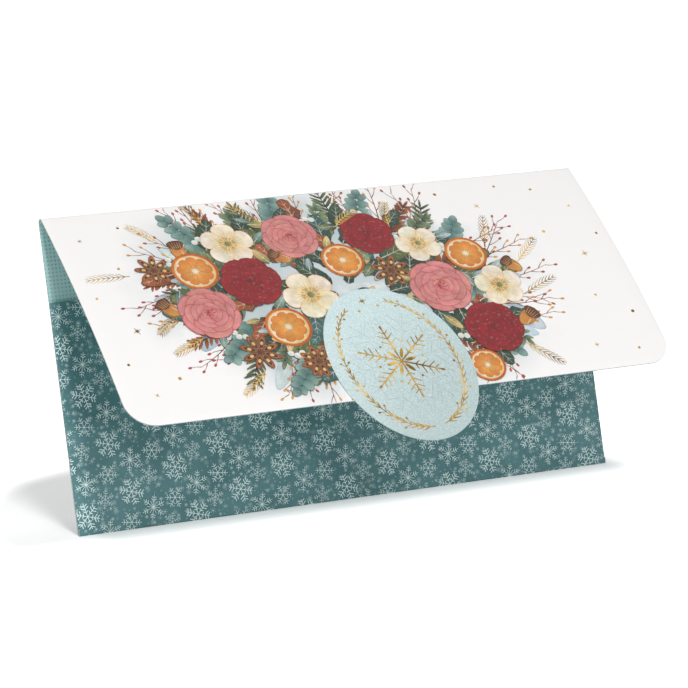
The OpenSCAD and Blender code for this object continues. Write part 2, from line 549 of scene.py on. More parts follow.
# %% [markdown]
# The printed picture on the flap is a wide spray of flowers and leaves on a slant. It fills an oval
# whose middle and turn are set here. The wash of pale paint behind the flowers fades out with the
# distance from that oval's middle, so it uses the same frame.

# %% The oval that the spray fills
FLAP_TOP = -CREASE_L
FLAP_LOW = -FLAP_RUN
SPRAY_X = -7 * MM
SPRAY_Y = (FLAP_TOP + FLAP_LOW) / 2
SPRAY_A = 57 * MM
SPRAY_B = 31 * MM
SPRAY_TURN = radians(-9)
WASH_A = SPRAY_A + 24 * MM
WASH_B = SPRAY_B + 22 * MM
WASH_FADE = 1.6


def on_spray(x, y):
    across, up = turned(x, y, SPRAY_TURN)
    return SPRAY_X + across, SPRAY_Y + up


def outward(angle, share):
    """The point at a share of the way to the oval's rim, and the heading that leaves the oval there."""
    x, y = on_spray(SPRAY_A * share * cos(angle), SPRAY_B * share * sin(angle))
    return x, y, atan2(sin(angle) / SPRAY_B, cos(angle) / SPRAY_A) + SPRAY_TURN


def wash_strength(x, y):
    along, across = turned(x - SPRAY_X, y - SPRAY_Y, -SPRAY_TURN)
    return max(0.0, min(1.0, WASH_FADE - WASH_FADE * hypot(along / WASH_A, across / WASH_B)))


# %% The white card of the flap
WHITE = srgb(249, 247, 246)
WASH_DARK = srgb(186, 200, 201)
WASH_LIGHT = srgb(204, 214, 216)
FLAP_COLUMNS = 48


def flap_white():
    material, tree, shader = satin_card("flap_white", 0.4, 0.2)
    spread = add_node(tree, "Attribute", {}, attribute_name="wash").outputs["Fac"]
    place = object_place(tree)
    wet = calc(tree, "MULTIPLY", spread, fade(tree, noise(tree, place, 45, 7), 0.3, 0.6))
    hue = blend_colours(tree, fade(tree, noise(tree, place, 30), 0.4, 0.6), WASH_DARK, WASH_LIGHT)
    feed(tree, shader, {"Base Color": blend_colours(tree, fade(tree, wet, 0.03, 0.7), WHITE, hue)})
    return material


bm = bmesh.new()
bmesh.ops.create_grid(bm, x_segments=1, y_segments=1, size=0.5)
bmesh.ops.scale(bm, vec=(WIDTH, FLAP_RUN, 1), verts=bm.verts[:])
bmesh.ops.translate(bm, vec=(0, -FLAP_RUN / 2, 0), verts=bm.verts[:])
far_corners = [vert for vert in bm.verts if vert.co.y < -FLAP_RUN / 2]
round_off(bm, far_corners, CORNER_R, 16, "VERTICES")
cut_across(bm, 0, steps(-WIDTH / 2, WIDTH / 2, FLAP_COLUMNS)[1:-1])
cut_across(bm, 1, [place for place in CREASE_CUTS + BOW_CUTS if place > FLAP_LOW])
keep_flat_map(bm)
wash = bm.verts.layers.float.new("wash")
for vert in bm.verts:
    vert[wash] = wash_strength(vert.co.x, vert.co.y)
    vert.co = bend_over_card(vert.co)
flap_sheet = make_piece("flap_sheet", bm, flap_white(), inner_print, cut_edge)
give_thickness(flap_sheet)
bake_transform(flap_sheet)
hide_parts("top_crease", "flap")

# %% [markdown]
# Painted motifs are flat blots of ink. A blot is a circle whose rim is moved onto an outline, with a
# darker ring round it, as pigment gathers at the edge of a wet brush stroke. Each new blot looks for
# those that it overlaps and lies one thin layer above them. The colour goes into an attribute, from
# the blot's foot to its tip.

# %% The paints
PAINT = {
    "deep_red": srgb(116, 20, 30), "red": srgb(152, 40, 46), "rose": srgb(184, 82, 86),
    "blush": srgb(224, 156, 150), "cream": srgb(242, 228, 204), "ivory": srgb(250, 243, 230),
    "umber": srgb(74, 46, 34), "brown": srgb(118, 72, 46), "russet": srgb(172, 94, 50),
    "orange": srgb(214, 126, 52), "amber": srgb(232, 168, 88), "peel": srgb(190, 92, 34),
    "forest": srgb(34, 54, 44), "pine": srgb(58, 84, 66), "olive": srgb(112, 118, 64),
    "sage": srgb(146, 160, 120), "teal_leaf": srgb(68, 110, 108), "dusty": srgb(150, 178, 170),
    "frost": srgb(206, 222, 220), "gold": srgb(208, 164, 84),
    "straw": srgb(232, 204, 140), "mist": srgb(190, 204, 214), "haze": srgb(168, 188, 196),
}
chance = random.Random(11)
some = chance.uniform  # any size between two limits


def paint(colour):
    return PAINT[colour] if isinstance(colour, str) else colour


def mix(first, second, share):
    return [a + (b - a) * share for a, b in zip(paint(first), paint(second))]


def sway(reach):
    return some(-reach, reach)


def vary(colour, amount=0.16):
    """The same colour a little lighter or darker, with each channel moved slightly on its own."""
    lift = 1 + sway(amount)
    return [min(1.0, level * lift * (1 + sway(0.05))) for level in paint(colour)[:3]] + [1]


def stepped(x, y, way, distance):
    return x + distance * cos(way), y + distance * sin(way)


# %% A sheet of ink that collects blots and strokes
LAYER = 0.002 * MM
INK_BASE = 0.008 * MM
POUR_SIZE = 30
UNDER_TAG = 1 * MM
EDGE_SHARE = 0.75
RIM_TESTS = 12
STRAIGHT = 1e-4


class InkSheet:
    def __init__(self, height, under_tag=True):
        self.height = height
        self.under_tag = under_tag
        self.drawn = bmesh.new()
        self.places = []
        self.start_wet()

    def start_wet(self):
        self.wet = bmesh.new()
        self.ink = self.wet.verts.layers.float_color.new("ink")
        self.count = 0

    def hidden(self, x, y, r):
        """Whether a spot lies wholly under the tag, where no ink needs drawing."""
        x, y = turned(x, y - TAG_Y, -TAG_TILT)
        r += UNDER_TAG
        return self.under_tag and hypot(x / (TAG_W / 2 - r), y / (TAG_H / 2 - r)) < 1 and r < TAG_W / 2

    def level(self, x, y, r):
        over = [top for px, py, pr, top in self.places if (px - x) ** 2 + (py - y) ** 2 < (pr + r) ** 2]
        top = 1 + max(over, default=0)
        self.places.append((x, y, r, top))
        return self.height + INK_BASE + top * LAYER

    def pour(self):
        """Moves the wet ink onto the sheet, which keeps the mesh that is worked on small and quick."""
        mesh = bpy.data.meshes.new("wet_ink")
        self.wet.to_mesh(mesh)
        self.drawn.from_mesh(mesh)
        bpy.data.meshes.remove(mesh)
        self.wet.free()
        self.start_wet()

    def pour_when_full(self):
        self.count += 1
        if self.count >= POUR_SIZE:
            self.pour()

    def blot(self, outline, x, y, turn, size, foot, tip, edge, sides, rim=0.12):
        widest = size * max(hypot(*outline(2 * pi * i / RIM_TESTS)) for i in range(RIM_TESTS))
        if self.hidden(x, y, widest):
            return
        z = self.level(x, y, widest)
        bm = self.wet
        fan = bmesh.ops.create_circle(bm, cap_ends=True, cap_tris=True, segments=sides, radius=1)["verts"]
        border = dict.fromkeys(e for vert in fan for e in vert.link_edges if len(e.link_faces) == 1)
        ring = bmesh.ops.extrude_edge_only(bm, edges=list(border))["geom"]
        ring = only(ring, bmesh.types.BMVert)
        for vert in list(fan) + ring:
            reach = 1.0 if vert in ring else (1 - rim) * min(1.0, vert.co.length)
            ox, oy = outline(atan2(vert.co.y, vert.co.x)) if reach > 0 else (0, 0)
            ox *= reach
            oy *= reach
            colour = mix(foot, tip, 0.5 + ox / 2)
            vert[self.ink] = mix(colour, edge, EDGE_SHARE) if edge and vert in ring else colour
            out_x, out_y = turned(ox, oy, turn)
            vert.co = (x + size * out_x, y + size * out_y, z)
        self.pour_when_full()

    def dot(self, x, y, size, *look):
        self.blot(round_outline, x, y, 0, size, *look)

    def stroke(self, x, y, turn, length, curl, width, foot, tip, end_width, parts):
        """A tapering line that starts at x, y and curls as it goes. Returns the places along it."""
        spots = [arc_place(x, y, turn, length, curl, i / parts) for i in range(parts + 1)]
        mx, my, _ = spots[parts // 2]
        if self.hidden(mx, my, length * 0.55):
            return spots
        z = self.level(mx, my, length * 0.3)
        strip = bmesh.ops.create_grid(self.wet, x_segments=parts, y_segments=1, size=0.5)["verts"]
        for vert in strip:
            share = vert.co.x + 0.5
            px, py, heading = arc_place(x, y, turn, length, curl, share)
            half = copysign(width / 2 * (1 + (end_width - 1) * share), vert.co.y)
            vert[self.ink] = mix(foot, tip, share)
            vert.co = (px - half * sin(heading), py + half * cos(heading), z)
        self.pour_when_full()
        return spots


def arc_place(x, y, turn, length, curl, share):
    """The point and the heading at a share of a circular arc that turns by curl in all."""
    heading = turn + curl * share
    if abs(curl) < STRAIGHT:
        return (*stepped(x, y, turn, length * share), heading)
    r = length / curl
    return (x + r * (sin(heading) - sin(turn)), y - r * (cos(heading) - cos(turn)), heading)


# %% Outlines of the motifs, as functions of the angle
def round_outline(angle):
    return cos(angle), sin(angle)


def leaf_outline(width, point=0.0):
    def outline(angle):
        x = cos(angle)
        return x, width * sin(angle) * (1 - point * x)
    return outline


def lobed_outline(width, lobes, depth):
    def outline(angle):
        x = cos(angle)
        wave = 1 - depth * (0.5 - 0.5 * cos(lobes * angle))
        return x * (0.9 + 0.1 * wave), width * sin(angle) * wave
    return outline


# %% Leaves, sprigs and twigs
def painted_leaf(art, x, y, turn, size, width, foot, tip, edge, veins=0, outline=None):
    shape = outline or leaf_outline(width, 0.25)
    art.blot(shape, *stepped(x, y, turn, size), turn, size, vary(foot), vary(tip), edge, 14)
    if veins:
        pale = mix(tip, "ivory", 0.45)
        art.stroke(x, y, turn, size * 1.9, 0, size * 0.07, pale, pale, 0.2, 2)
        for i in range(1, veins + 1):
            share = i / (veins + 1)
            fork = stepped(x, y, turn, 1.9 * size * share)
            for side in (-1, 1):
                art.stroke(*fork, turn + side * 0.75, size * width * 0.85 * sin(pi * share), 0,
                           size * 0.04, pale, pale, 0.2, 1)


def leafy_branch(art, x, y, turn, length, curl, pairs, size, width, foot, tip, edge, stem, spread):
    art.stroke(x, y, turn, length, curl, 0.55 * MM, stem, stem, 0.3, 8)
    for i in range(pairs):
        share = (i + 0.6) / pairs
        px, py, heading = arc_place(x, y, turn, length, curl, share)
        grown = size * (1.05 - 0.45 * share)
        for side in (-1, 1):
            lean = heading + side * spread * some(0.75, 1.15)
            painted_leaf(art, px, py, lean, grown * some(0.85, 1.1), width, foot, tip, edge)
    painted_leaf(art, *arc_place(x, y, turn, length, curl, 1.0), size * 0.6, width, foot, tip, edge)


def bare_twig(art, x, y, turn, length, curl, buds):
    spots = art.stroke(x, y, turn, length, curl, 0.5 * MM, "brown", "russet", 0.3, 8)
    for i, (px, py, heading) in enumerate(spots[2:]):
        side = 1 if i % 2 else -1
        reach = length * 0.2 * some(0.7, 1.2)
        tips = art.stroke(px, py, heading + side * 0.65, reach, -side * 0.4, 0.3 * MM, "brown", "russet",
                          0.4, 3)
        art.blot(leaf_outline(0.6), *tips[-1], 0.75 * MM, buds, vary(buds), "umber", 8)


# %% Roses, open blossoms, orange slices, anise stars, acorns and white berries
ROSE_RINGS = [(6, 0.60, 0.46), (6, 0.45, 0.40), (5, 0.30, 0.33), (4, 0.18, 0.25), (3, 0.08, 0.17)]


def ring_of(x, y, count, reach, turn):
    """Even places round a middle, each with the heading that leads out to it."""
    for i in range(count):
        way = turn + 2 * pi * i / count
        yield (*stepped(x, y, way, reach), way)


def painted_rose(art, x, y, size, foot, tip, edge):
    """Rings of petals from the outside in, each ring smaller and turned against the last."""
    turn = some(0, 6)
    for petals, reach, petal in ROSE_RINGS:
        turn += 0.5
        shade = mix(mix(foot, tip, 0.25 + 0.5 * reach), tip, 0.7)
        for spot in ring_of(x, y, petals, size * reach, turn):
            art.blot(leaf_outline(1.12, -0.22), *spot, size * petal, vary(foot, 0.1), vary(shade, 0.1), edge,
                     16, 0.1)
    for i in range(7):
        way = turn + 0.9 * i
        art.stroke(*stepped(x, y, way, 0.02 * size * i), way, size * 0.2, 1.6, size * 0.035, edge, foot,
                   0.4, 4)


def orange_slice(art, x, y, size):
    art.dot(x, y, size, "orange", vary("peel"), "peel", 28, 0.08)
    art.dot(x, y, size * 0.88, "cream", "straw", "amber", 24, 0.1)
    for spot in ring_of(x, y, 9, size * 0.46, some(0, 1)):
        art.blot(leaf_outline(0.62, -0.6), *spot, size * 0.33, vary("amber", 0.08), vary("orange", 0.1),
                 "russet", 12, 0.14)
    art.dot(x, y, size * 0.09, "cream", "cream", "amber", 8)


def painted_acorn(art, x, y, turn, size):
    nx, ny = stepped(x, y, turn, size * 0.7)
    art.blot(leaf_outline(0.68, 0.12), nx, ny, turn, size, "russet", vary("amber"), "brown", 16)
    art.stroke(*stepped(nx, ny, turn + pi / 2, size * 0.3), turn, size * 0.7, 0.2, size * 0.09, "straw",
               "ivory", 0.3, 3)
    art.blot(leaf_outline(1.35, 0.3), x, y, turn, size * 0.56, "umber", vary("brown"), "umber", 16)
    for i in range(-2, 3):
        across, up = turned(-0.4 * size, 0.24 * size * i, turn)
        art.stroke(x + across, y + up, turn - i * 0.08, size * 0.75, 0, size * 0.05, "russet", "straw",
                   0.6, 1)


def open_blossom(art, x, y, size):
    """Five broad pale petals, a ring of fine stamens and a green heart."""
    turn = some(0, 6)
    for px, py, way in ring_of(x, y, 5, size * 0.54, turn):
        art.blot(leaf_outline(0.88, -0.28), px, py, way, size * 0.5, vary("straw", 0.06),
                 vary("ivory", 0.04), "amber", 18, 0.09)
        for side in (-0.34, 0, 0.34):
            art.stroke(*stepped(x, y, way, size * 0.2), way + side, size * 0.55, side, size * 0.035, "sage",
                       "cream", 0.3, 2)
    for i in range(14):
        tips = art.stroke(x, y, turn + 0.45 * i, size * 0.3, 0.3, size * 0.03, "olive", "amber", 0.8, 2)
        art.dot(*tips[-1][:2], size * 0.05, "gold", "amber", None, 6)
    art.dot(x, y, size * 0.12, "olive", "sage", "forest", 10)


def anise_star(art, x, y, size):
    """Eight boat-shaped pods, each with a dark split and a shining seed."""
    for spot in ring_of(x, y, 8, size * 0.54, some(0, 0.7)):
        art.blot(leaf_outline(0.36, -0.1), *spot, size * 0.5, vary("brown"), vary("russet"), "umber", 14,
                 0.16)
        art.blot(leaf_outline(0.34), *spot, size * 0.34, "umber", "umber", "straw", 10, 0.1)
        art.blot(leaf_outline(0.7), *spot, size * 0.12, "amber", "straw", "brown", 8)
    art.dot(x, y, size * 0.13, "umber", "brown", "umber", 8)


def white_berries(art, x, y, turn, size):
    for i in range(3):
        way = turn + (i - 1) * 0.9
        bx, by = stepped(x, y, way, size * 1.3)
        art.stroke(x, y, way, size * 1.2, 0.3, size * 0.18, "olive", "sage", 0.8, 2)
        art.blot(round_outline, bx, by, 0.8, size * 0.62, "frost", "ivory", "teal_leaf", 12, 0.1)
        art.blot(round_outline, bx + size * 0.18, by + size * 0.2, 0.8, size * 0.16, "ivory", "ivory",
                 None, 6)


# %% [markdown]
# The spray is laid as a florist would lay it: faint leaves and long twigs first, pointing outwards
# round the oval, then branches and big leaves, then the flowers and fruit on top. A seeded random
# source turns and shifts them, so the picture is the same on every run. What runs over the crease or
# the free edge is trimmed off with a bisect.

# %% Laying the greenery
art = InkSheet(CARD / 2)
BRANCHES = [
    (15, 20, 6, 2.9, 0.85, "teal_leaf", "dusty", "pine", "pine", 1.1),
    (15, 21, 10, 3.1, 0.2, "forest", "olive", "forest", "umber", 0.75),
    (13, 18, 7, 2.9, 0.4, "pine", "sage", "forest", "brown", 0.9),
    (13, 17, 8, 2.6, 0.3, "umber", "russet", "umber", "umber", 0.8),
]
SMALL_LEAVES = 80
ANY_WAY = 6.28
LEAF_RINGS = [(0.92, 24), (0.7, 26), (0.5, 24), (0.28, 14), (0.08, 5)]


def round_the_spray(count, start):
    return [start + 2 * pi * (i + sway(0.25)) / count for i in range(count)]


for angle in round_the_spray(26, 0.1):
    x, y, way = outward(angle, some(0.7, 0.95))
    pale = chance.choice([("frost", "mist"), ("mist", "frost"), ("haze", "frost")])
    painted_leaf(art, x, y, way + sway(0.6), some(5, 8) * MM, some(0.3, 0.5), *pale, "haze", 3)
for angle in round_the_spray(38, 0.0):
    x, y, way = outward(angle, some(0.7, 0.9))
    bare_twig(art, x, y, way + sway(0.5), some(17, 25) * MM,
              sway(0.6), chance.choice(["russet", "amber", "rose"]))
for i, angle in enumerate(round_the_spray(40, 0.05)):
    x, y, way = outward(angle, some(0.6, 0.88))
    way += sway(0.35)
    shortest, longest, pairs, size, *look = BRANCHES[i % 4]
    leafy_branch(art, x, y, way, some(shortest, longest) * MM, sway(0.5), pairs, size * MM, *look)
for share, count in LEAF_RINGS:
    for i, angle in enumerate(round_the_spray(count, share)):
        x, y, way = outward(angle, share * some(0.85, 1.05))
        dark = chance.choice([("forest", "pine"), ("pine", "olive"), ("umber", "russet"),
                              ("forest", "teal_leaf")])
        shape = lobed_outline(0.58, 8, 0.42) if i % 2 else leaf_outline(0.5, 0.25)
        painted_leaf(art, x, y, way + sway(0.9), some(5, 7) * MM, 0.5, *dark, "forest", 4, shape)
for i in range(SMALL_LEAVES):
    x, y, way = outward(some(0, ANY_WAY), sqrt(some(0.02, 1)))
    light = chance.choice([("forest", "sage"), ("teal_leaf", "frost"), ("pine", "dusty"),
                           ("olive", "straw")])
    painted_leaf(art, x, y, some(0, ANY_WAY), some(2.4, 4) * MM, 0.42, *light, "forest", 2)
for angle in round_the_spray(22, 0.2):
    x, y, way = outward(angle, some(0.75, 1.05))
    white_berries(art, x, y, way + sway(0.7), some(1.4, 1.9) * MM)

# %% Laying the flowers and the fruit
FLOWERS = [
    ("anise", -60, 6, 6.0), ("acorn", -51, 17, 3.6), ("acorn", -60, -8, 3.6), ("slice", -47, 6, 7.5),
    ("rose", -46, -11, 9.5), ("blossom", -34, 18, 8.5), ("anise", -33, -26, 6.5), ("deep", -30, 2, 9.5),
    ("slice", -22, -16, 7.5), ("acorn", -20, 14, 3.4), ("rose", -13, 22, 9.0), ("blossom", -12, -3, 9.0),
    ("anise", -15, -29, 6.0), ("slice", 2, 12, 7.0), ("deep", 13, 24, 8.5), ("anise", 17, 8, 6.5),
    ("blossom", 29, 20, 7.5), ("rose", 32, 2, 10.0), ("slice", 44, 16, 7.0), ("acorn", 26, -12, 3.4),
    ("anise", 29, -24, 6.5), ("deep", 46, -14, 9.5), ("blossom", 52, 3, 8.0), ("acorn", 60, -8, 3.8),
    ("slice", 40, -29, 6.0), ("acorn", 57, 13, 3.4),
]
ROSE_PAINTS = {"rose": ("rose", "blush", "red"), "deep": ("deep_red", "red", "umber")}
OTHERS = {"blossom": open_blossom, "slice": orange_slice, "anise": anise_star}
for kind, across, up, size in FLOWERS:
    x, y = on_spray(across * MM, up * MM)
    if kind in ROSE_PAINTS:
        painted_rose(art, x, y, size * MM, *ROSE_PAINTS[kind])
    elif kind == "acorn":
        painted_acorn(art, x, y, some(3.6, 5.8), size * MM)
    else:
        OTHERS[kind](art, x, y, size * MM)
art.pour()
print("The spray has", len(art.places), "blots and strokes in", max(p[3] for p in art.places), "layers")


# %% Bending the picture onto the flap
def painted_ink():
    material, tree, shader = satin_card("painted_ink", 0.42, 0.2)
    colour = add_node(tree, "Attribute", {}, attribute_name="ink").outputs["Color"]
    place = object_place(tree)
    pool = fade(tree, noise(tree, place, 420, 4), 0.3, 0.7, 0.0, 0.3)
    dense = blend_colours(tree, pool, colour, (0.35, 0.33, 0.3, 1), "MULTIPLY")
    thin = fade(tree, noise(tree, place, 1100, 3), 0.55, 0.8, 0.0, 0.16)
    feed(tree, shader, {"Base Color": blend_colours(tree, thin, dense, srgb(240, 232, 220))})
    return material


EDGE_GAP = 0.15 * MM


def trim_to_flap(bm):
    cut_across(bm, 1, [FLAP_TOP], clear_outer=True)
    cut_across(bm, 1, [FLAP_LOW + EDGE_GAP], clear_inner=True)


trim_to_flap(art.drawn)
bend_drawing(art.drawn)
flap_picture = make_piece("flap_picture", art.drawn, painted_ink())
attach(flap_picture, "flap")

# %% [markdown]
# Gold foil is pressed on last: small stars and dots on the white ends of the flap, and fine sprigs
# among the leaves. Foil is metal, so its look comes from what it reflects, and a little unevenness
# in its surface keeps that from looking like flat yellow. A sprig that would cross a flower starts
# further out instead.

# %% Gold foil on the flap
GOLD = ("gold", "gold")  # for the foot and the tip of a stroke
FOIL_DARK = srgb(126, 94, 36)
FOIL_LIGHT = srgb(224, 187, 106)
STAR_RAYS = 8


def gold_foil():
    material, tree, shader = new_finish("gold_foil")
    place = object_place(tree)
    tone = fade(tree, noise(tree, place, 160, 6), 0.32, 0.66)
    roughness_and_painted_light = fade(tree, noise(tree, place, 1500), 0.3, 0.7, 0.22, 0.4)
    feed(tree, shader, {"Metallic": 1.0, "Roughness": roughness_and_painted_light,
                        "Base Color": blend_colours(tree, tone, FOIL_DARK, FOIL_LIGHT),
                        "Normal": bumped(tree, noise(tree, place, 900, 2), 0.5, 0.05 * MM)})
    return material


foil_gold = gold_foil()


def foil_star(sheet, x, y, size):
    turn = some(0, 1)
    for i in range(STAR_RAYS):
        way = turn + 2 * pi * i / STAR_RAYS
        reach = size if i % 2 == 0 else size * 0.6
        sheet.stroke(x, y, way, reach, 0, size * 0.26, *GOLD, 0.25, 1)


def foil_frond(sheet, x, y, turn, length, curl, leaves):
    """A thin stem with paired fine needles, as an engraver would draw a fern."""
    sheet.stroke(x, y, turn, length, curl, 0.28 * MM, *GOLD, 0.5, 8)
    for i in range(leaves):
        share = (i + 1) / (leaves + 1)
        px, py, heading = arc_place(x, y, turn, length, curl, share)
        reach = 3.8 * MM * sin(pi * (0.2 + 0.72 * share))
        for side in (-1, 1):
            sheet.stroke(px, py, heading + side * 0.75, reach, -side * 0.5, 0.3 * MM, *GOLD, 0.3, 3)


BLOOMS = [(*on_spray(across * MM, up * MM), size * MM) for _, across, up, size in FLOWERS]


def over_bloom(x, y):
    return any(hypot(x - bx, y - by) < size for bx, by, size in BLOOMS)


LARGEST_DOT = 0.7
foil = InkSheet(CARD / 2)
foil.places = list(art.places)
STARS = [
    (-84, -14, 0.9), (-76, -27, 0.5), (-87, -38, 0.5), (-79, -52, 1.5), (-86, -64, 0.5), (-72, -71, 0.6),
    (-70, -10, 0.5), (-81, -76, 0.9), (74, -11, 0.5), (84, -20, 0.9), (70, -30, 0.6), (80, -41, 1.4),
    (88, -33, 0.5), (76, -58, 0.5), (86, -66, 0.6), (68, -77, 1.0), (82, -80, 0.5), (40, -9, 0.6),
    (52, -16, 1.2), (62, -8, 0.5), (-22, -76, 0.6), (-40, -80, 0.9),
]
for x, y, size in STARS:
    if size > LARGEST_DOT:
        foil_star(foil, x * MM, y * MM, size * MM)
    else:
        foil.dot(x * MM, y * MM, size * MM, *GOLD, None, 8)
for angle in round_the_spray(16, 0.3):
    length = some(11, 15) * MM
    lean = sway(0.6)
    curl = sway(0.6)
    for share in steps(0.8, 1.25, 9):
        x, y, way = outward(angle, share)
        spots = [arc_place(x, y, way + lean, length, curl, part) for part in steps(0, 1, 6)]
        if not any(over_bloom(px, py) for px, py, _ in spots):
            foil_frond(foil, x, y, way + lean, length, curl, 8)
            break
foil.pour()
trim_to_flap(foil.drawn)
bend_drawing(foil.drawn)
flap_foil = make_piece("flap_foil", foil.drawn, foil_gold)
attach(flap_foil, "flap")

# %% [markdown]
# The oval tag is a thicker card with a pearly skin and a fine embossed grain. Its colour carries painted
# light and shade: it is painted lighter towards the top left and darker towards the bottom right. It begins
# as a disc, stretched to an oval, extruded and given a small bevel, and it is bent over the flap like the
# ink, because the real tag is glued down and follows the flap's bow.

# %% The embossed tag
tag_place = Matrix.Translation((0, TAG_Y, CARD / 2 + PATCH_T)) @ Matrix.Rotation(TAG_TILT, 4, "Z")
PRESSED_SCALE = 0.3
PRESSED_DEPTH = 0.14 * MM
PRESSED_FLAKES = [(0.0, 5.6, (1.3, 1.6, 1.5)), (pi / 6, 5.0, (0.0, 0.9, 1.0))]
SKIN_SCALE = 1900
SKIN_DEPTH = 0.1 * MM
TAG_BEVEL = 0.12 * MM
TAG_SIDES = 128


def pearl_card():
    material, tree, shader = satin_card("pearl_card", 0.36, 0.0)
    cells = {"Vector": object_place(tree), "Scale": SKIN_SCALE, "Randomness": 1.0}
    skin = add_node(tree, "TexVoronoi", cells, feature="SMOOTH_F1").outputs["Distance"]
    sheet = flat_millimetres(tree)
    small = scaled(tree, sheet, PRESSED_SCALE)
    pressed = 0.0
    for turn, reach, branches in PRESSED_FLAKES:
        drawn = add_node(tree, "Group", {
            "Place": small, "Starts": (2.2, 3.2, 4.2), "Lengths": branches, "Turn": turn, "Reach": reach,
            "Line": 0.1, "Swell": 0.06, "Hub": 0.0}, node_tree=flake)
        pressed = calc(tree, "MAXIMUM", pressed, drawn.outputs[0])
    relief = bumped(tree, pressed, 1.0, PRESSED_DEPTH, Normal=bumped(tree, skin, 0.9, SKIN_DEPTH))
    # Painted light and shade: a slope across the tag makes both skin colours lighter towards the top left
    # and darker towards the bottom right
    roughness_and_painted_light = fade(tree, vector_calc(tree, "DOT_PRODUCT", sheet, (-0.5, 0.86, 0)), -26, 24)
    light = blend_colours(tree, roughness_and_painted_light, srgb(196, 214, 214), srgb(219, 236, 237))
    dark = blend_colours(tree, roughness_and_painted_light, srgb(178, 196, 196), srgb(200, 221, 222))
    pearly = blend_colours(tree, fade(tree, skin, 0.1, 0.6), light, dark)
    feed(tree, shader, {"Base Color": pearly, "Normal": relief, "Coat Weight": 0.15,
                        "Coat Roughness": 0.45})
    return material


pearl = pearl_card()
bm = bmesh.new()
bmesh.ops.create_circle(bm, cap_ends=True, segments=TAG_SIDES, radius=0.5)
bmesh.ops.scale(bm, vec=(TAG_W, TAG_H, 1), verts=bm.verts[:])
made = bmesh.ops.extrude_face_region(bm, geom=bm.faces[:])["geom"]
top = only(made, bmesh.types.BMVert)
bmesh.ops.translate(bm, vec=(0, 0, TAG_T), verts=top)
bmesh.ops.recalc_face_normals(bm, faces=bm.faces[:])
brims = [e for e in bm.edges if e.calc_face_angle() > 1]
round_off(bm, brims, TAG_BEVEL, 2)
keep_flat_map(bm)
bmesh.ops.transform(bm, matrix=tag_place, verts=bm.verts[:])
bend_drawing(bm)
embossed_tag = make_piece("embossed_tag", bm, pearl)
even_normals(embossed_tag)
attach(embossed_tag, "flap")
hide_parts("oval_tag")

# %% The ornament on the tag
TAG_TOP = CARD / 2 + PATCH_T + TAG_T


def on_tag(x, y):
    spot = tag_place @ Vector((x, y, 0))
    return spot.x, spot.y


def oval_point(angle, inset):
    """A point on an oval inside the tag's rim, and the heading of that oval there."""
    half_w = TAG_W / 2 - inset
    half_h = TAG_H / 2 - inset
    x, y = on_tag(half_w * cos(angle), half_h * sin(angle))
    return x, y, atan2(half_h * cos(angle), -half_w * sin(angle)) + TAG_TILT


def oval_frond(sheet, start, sweep, inset, leaves):
    """A frond that follows the tag's rim, with pairs of thin leaves and a few berries."""
    spots = [oval_point(start + sweep * i / leaves, inset) for i in range(leaves + 1)]
    for i in range(leaves):
        x, y, _ = spots[i]
        nx, ny, _ = spots[i + 1]
        way = atan2(ny - y, nx - x)
        sheet.stroke(x, y, way, hypot(nx - x, ny - y), 0, 0.3 * MM, *GOLD, 1, 1)
        grown = (2.9 - 1.3 * i / leaves) * MM
        for side in (-1, 1):
            if i % 4 == 3:
                tips = sheet.stroke(nx, ny, way + side * 0.8, grown * 0.9, 0, 0.22 * MM, *GOLD, 1, 1)
                sheet.dot(*tips[-1][:2], 0.42 * MM, *GOLD, None, 8)
            else:
                sheet.stroke(nx, ny, way + side * 0.65, grown, -side * 0.5, 0.62 * MM, *GOLD, 0.2, 3)


tag_gold = InkSheet(TAG_TOP, under_tag=False)
for side in (-1, 1):
    oval_frond(tag_gold, -pi / 2 + side * 0.1, side * 2.6, 4.6 * MM, 26)
TAG_STARS = [(0, 4.6, 1.5), (0.2, 7.5, 0.8), (-0.25, 7.0, 0.8)]
for around, inset, size in TAG_STARS:
    x, y, _ = oval_point(pi / 2 + around, inset * MM)
    foil_star(tag_gold, x, y, size * MM)
ARM = 12.5 * MM
BRANCHES_ON_ARM = [(0.36, 0.16), (0.52, 0.26), (0.7, 0.26), (0.86, 0.16)]
x, y = on_tag(0, 0)
for i in range(6):
    way = TAG_TILT + pi / 6 + pi / 3 * i
    tag_gold.stroke(x, y, way, ARM, 0, 0.6 * MM, *GOLD, 0.6, 1)
    for share, branch in BRANCHES_ON_ARM:
        for side in (-1, 1):
            tag_gold.stroke(*stepped(x, y, way, ARM * share), way + side * radians(55), ARM * branch, 0,
                            0.45 * MM, *GOLD, 0.6, 1)
    tag_gold.blot(leaf_outline(0.55), *stepped(x, y, way, ARM * 1.06), way, 0.8 * MM, *GOLD, None, 8)
    way += pi / 6
    tag_gold.blot(leaf_outline(0.3), *stepped(x, y, way, ARM * 0.26), way, 2.0 * MM, *GOLD, None, 10)
    tag_gold.dot(*stepped(x, y, way, ARM * 0.62), 0.45 * MM, *GOLD, None, 8)
tag_gold.pour()
bend_drawing(tag_gold.drawn)
tag_foil = make_piece("tag_foil", tag_gold.drawn, foil_gold)
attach(tag_foil, "flap")

# %% [markdown]
# The two glued side tabs and the adhesive keep their plain solids, because their shape is already
# right. They only need their finish: the same snowflake print, and a faint tacky film.

# %% Finishes for the pieces that keep their solids
FINISHES = {
    "left_side_tab": tab_print, "right_side_tab": tab_print, "left_glue_strip": adhesive,
    "right_glue_strip": adhesive, "tag_glue_patch": adhesive,
}
for name, finish in FINISHES.items():
    solid = frame["nodes"][name]
    solid.data.materials.clear()
    solid.data.materials.append(finish)
print("Finished", len(FINISHES), "solids")

# %% [markdown]
# A pale floor keeps the holder's soft shadow. Its colour is plain, and a little light of its own, seen
# only by the camera and in reflections, lifts it to the white of the background. That lift is weakest
# where the card touches the floor, and it is full once the shadow is left behind.

